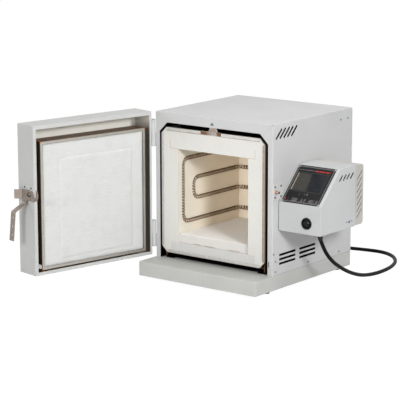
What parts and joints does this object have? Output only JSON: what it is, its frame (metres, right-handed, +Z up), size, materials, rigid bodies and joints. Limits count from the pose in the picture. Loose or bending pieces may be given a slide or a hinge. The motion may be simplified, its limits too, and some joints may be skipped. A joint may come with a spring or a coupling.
{
  "type": "muffle furnace",
  "caption": "Bench-top muffle furnace with its door swung open on side hinges, a brick chamber with coiled elements, a side control box and a mains lead.",
  "frame": {"origin": "on the bench, midway between the extents of the furnace with its door as stored, cord left out", "axes": "+Z up, +Y to the furnace's back, +X to its right, where the control box is"},
  "size_m": [0.668, 0.9883, 0.4413],
  "materials": {
    "case_paint": "light warm grey powder coat, fine satin",
    "guard_paint": "greige powder coat, satin",
    "firebrick": "matt, slightly porous cream-white insulating brick",
    "hearth_ceramic": "matt pinkish-white ceramic",
    "fibre": "matt white ceramic fibre",
    "stainless": "brushed, heat-tinted brown near the chamber",
    "resistance_wire": "oxidised brown wire",
    "zinc_steel": "bright zinc plate",
    "brass": "plain, slightly worn",
    "aluminium": "extruded, satin",
    "black_plastic": "glossy black",
    "dark_plastic": "matt black moulding",
    "board": "green laminate with solder mask",
    "porcelain": "glazed steatite",
    "screen_glass": "dark, glossy",
    "cord_rubber": "satin black sheath",
    "foot_rubber": "matt black"
  },
  "bodies": {
    "cabinet": {"base_tray": "case_paint", "base_cover": "zinc_steel", "feet": "foot_rubber", "foot_screws": "zinc_steel", "case_left": "case_paint", "case_right": "case_paint", "case_top": "case_paint", "back_panel": "case_paint", "case_screws": "zinc_steel", "muffle_wrap": "stainless", "heating_element": "resistance_wire", "left_wall": "firebrick", "right_wall": "firebrick", "roof_slab": "firebrick", "back_wall": "firebrick", "floor_board": "firebrick", "front_sill": "firebrick", "hearth_plate": "hearth_ceramic", "element_terminals": "zinc_steel", "terminal_block": "porcelain", "thermocouple": "stainless", "muffle_supports": "zinc_steel", "hold_down_clip": "stainless", "clip_screw": "zinc_steel", "interlock_switch": "dark_plastic", "catch_plate": "case_paint", "catch_rivets": "zinc_steel", "striker_stud": "brass", "case_hinge_leaves": "case_paint", "hinge_pins": "zinc_steel", "control_box": "case_paint", "box_spacer": "dark_plastic", "box_rear_cover": "case_paint", "heat_sink": "aluminium", "heat_sink_guard": "guard_paint", "power_relay": "dark_plastic", "fascia_panel": "black_plastic", "touch_screen": "screen_glass", "control_board": "board", "fascia_screws": "zinc_steel", "switch_body": "black_plastic", "lock_receptacle": "zinc_steel", "strain_relief": "dark_plastic", "power_cord": "cord_rubber", "cord_coil": "cord_rubber", "cord_plug": "dark_plastic"},
    "door": {"door_shell": "case_paint", "pad_frame": "stainless", "door_pad": "fibre", "pad_standoffs": "zinc_steel", "interlock_tongue": "case_paint", "door_hinge_leaves": "case_paint", "latch_base": "case_paint", "latch_rivets": "zinc_steel", "latch_pivot": "zinc_steel"},
    "latch": {"latch_lever": "case_paint"},
    "rocker": {"switch_rocker": "black_plastic"},
    "lock_stud": {"panel_lock": "zinc_steel"},
    "plunger": {"interlock_plunger": "dark_plastic"}
  },
  "joints": [
    {"name": "door_hinge", "type": "hinge", "parent": "cabinet", "child": "door", "pos_m": [-0.18604, 0.0273, 0.2463], "axis": [0, 0, 1], "range_deg": [-73, 102]},
    {"name": "latch_pivot_joint", "type": "hinge", "parent": "door", "child": "latch", "pos_m": [-0.28109, -0.35397, 0.2648], "axis": [-0.2079, -0.9781, 0], "range_deg": [-75, 0]},
    {"name": "rocker_tilt", "type": "hinge", "parent": "cabinet", "child": "rocker", "pos_m": [0.28866, 0.0569, 0.1943], "axis": [1, 0, 0], "range_deg": [0, 16]},
    {"name": "lock_turn", "type": "hinge", "parent": "cabinet", "child": "lock_stud", "pos_m": [0.33166, 0.1817, 0.1836], "axis": [1, 0, 0], "range_deg": [0, 90]},
    {"name": "plunger_slide", "type": "slide", "parent": "cabinet", "child": "plunger", "axis": [0, 1, 0], "range_m": [0, 0.0015], "stiffness_N_per_m": 300, "springref_m": -0.001}
  ]
}
